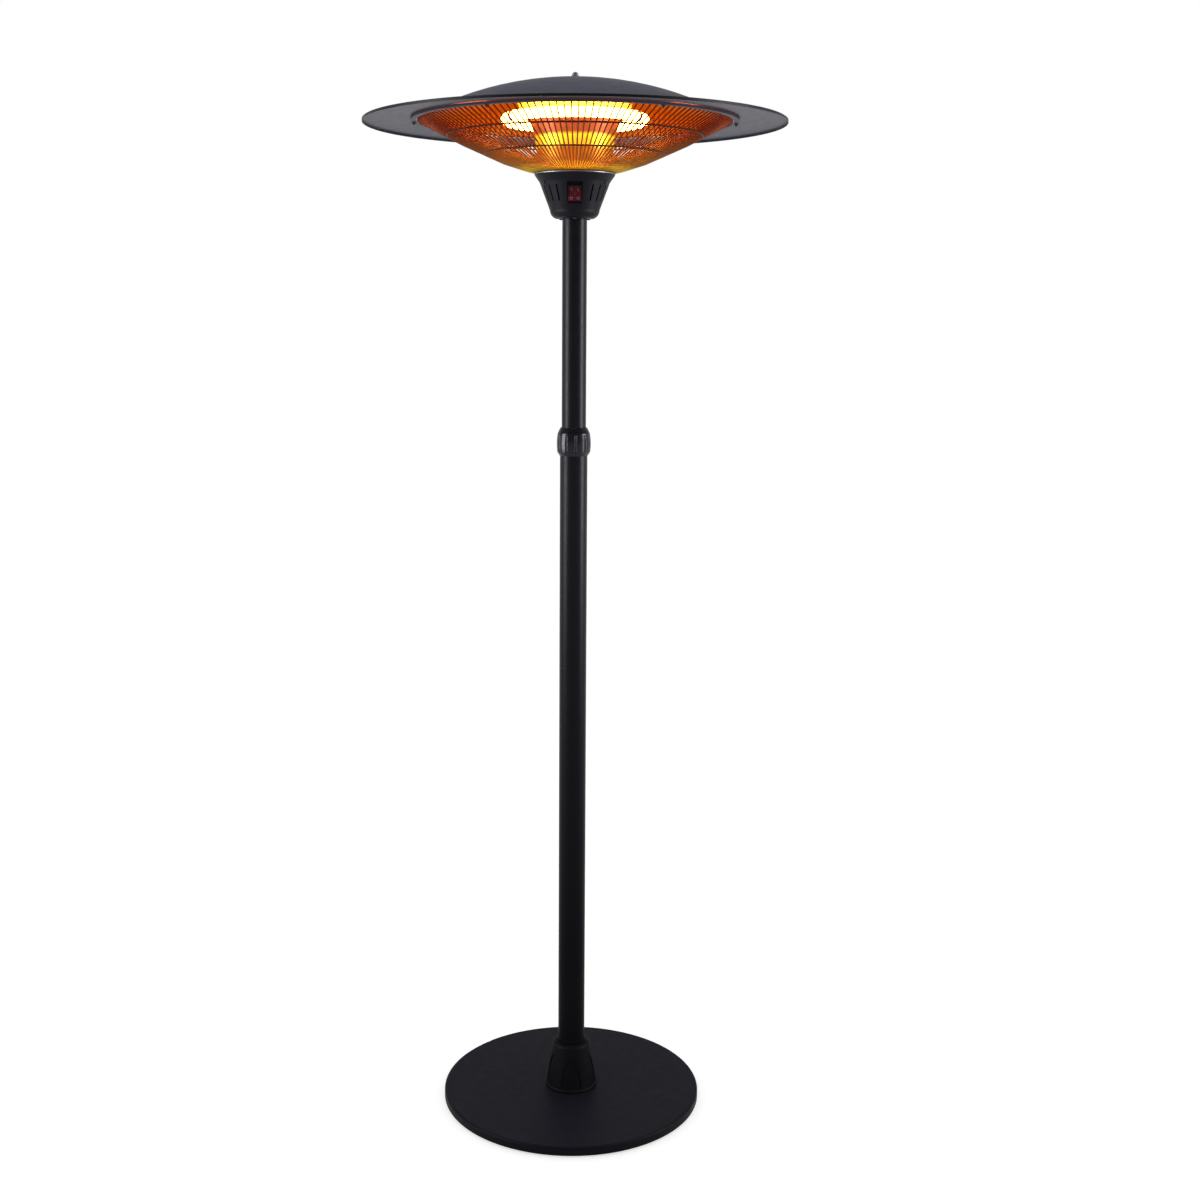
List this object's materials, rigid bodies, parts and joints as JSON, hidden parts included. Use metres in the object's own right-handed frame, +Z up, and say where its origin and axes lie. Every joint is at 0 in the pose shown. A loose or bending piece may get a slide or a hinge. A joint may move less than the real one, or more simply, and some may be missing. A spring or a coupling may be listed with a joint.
{
  "type": "infrared patio heater tower",
  "caption": "Free-standing infrared patio heater: round weighted base, twist-lock telescopic pole, switch housing, ring lamp behind a wire guard, and a wide domed shade.",
  "frame": {"origin": "on the floor under the middle of the pole", "axes": "+Z up along the pole; -Y towards the switches at the front, +X to their right"},
  "size_m": [0.82, 0.82, 2.095],
  "materials": {
    "powder_coat": "fine-textured black powder coat",
    "pole_paint": "satin black paint",
    "shade_paint": "satin charcoal grey paint",
    "black_plastic": "matte moulded black",
    "sleeve_plastic": "plain moulded dark grey",
    "rocker_red": "translucent dark red",
    "rubber": "matte",
    "silicone": "matte heat-proof silicone",
    "ballast_iron": "rough cast",
    "steel": "zinc-plated",
    "black_screw": "black-oxide fasteners",
    "polished_steel": "polished",
    "polished_aluminium": "mirror-polished reflector sheet",
    "guard_chrome": "bright chrome-plated wire",
    "quartz": "clear quartz tube, hot",
    "filament": "glowing coil",
    "ceramic": "off-white steatite",
    "terminal_plastic": "cream terminal strip",
    "lead_sleeve": "white glass-fibre sleeve",
    "brass_contact": "plain"
  },
  "bodies": {
    "stand": {"base_cover": "powder_coat", "base_ballast": "ballast_iron", "base_underplate": "powder_coat", "underplate_screws": "steel", "base_pads": "rubber", "foot_socket": "steel", "socket_bolts": "steel", "foot_boot": "black_plastic", "lower_pole": "pole_paint", "pole_screws": "black_screw", "clamp_sleeve": "sleeve_plastic"},
    "collar": {"twist_collar": "black_plastic"},
    "guide": {"pole_guide": "sleeve_plastic"},
    "mast": {"upper_pole": "pole_paint", "head_socket": "steel", "flange_screws": "black_screw", "socket_grub_screws": "steel", "housing_shell": "black_plastic", "housing_seal": "rubber", "housing_lid": "black_plastic", "housing_screws": "black_screw", "housing_trim": "polished_steel", "switch_body": "black_plastic", "switch_terminals": "brass_contact", "rocker_pin": "steel", "switch_leads": "lead_sleeve", "terminal_block": "terminal_plastic", "tilt_switch": "black_plastic", "cable_gland": "black_plastic", "gland_cap": "black_plastic", "gland_nut": "black_plastic", "centre_column": "polished_aluminium", "reflector": "polished_aluminium", "lamp_tube": "quartz", "lamp_filament": "filament", "lamp_caps": "ceramic", "lamp_clips": "steel", "lead_grommets": "silicone", "lamp_leads": "lead_sleeve", "wire_guard": "guard_chrome", "shade": "shade_paint", "rim_clamp": "shade_paint", "rim_nuts": "steel", "tie_rod": "steel", "rod_nut": "steel", "dome_spacer": "steel", "top_washer": "steel", "top_nut": "polished_steel"},
    "rocker_left": {"rocker_left": "rocker_red"},
    "rocker_right": {"rocker_right": "rocker_red"}
  },
  "joints": [
    {"name": "collar_turn", "type": "hinge", "parent": "stand", "child": "collar", "pos_m": [0, 0, 1.382], "axis": [0, 0, 1], "range_deg": [0, 120]},
    {"name": "pole_slide", "type": "slide", "parent": "stand", "child": "guide", "axis": [0, 0, 1], "range_m": [-0.39, 0]},
    {"name": "head_swivel", "type": "hinge", "parent": "guide", "child": "mast", "pos_m": [0, 0, 1.248], "axis": [0, 0, 1], "range_deg": [-180, 180]},
    {"name": "rocker_left_press", "type": "hinge", "parent": "mast", "child": "rocker_left", "pos_m": [0, -0.05, 1.8605], "axis": [1, 0, 0], "range_deg": [0, 16]},
    {"name": "rocker_right_press", "type": "hinge", "parent": "mast", "child": "rocker_right", "pos_m": [0, -0.05, 1.8605], "axis": [1, 0, 0], "range_deg": [0, 16]}
  ]
}
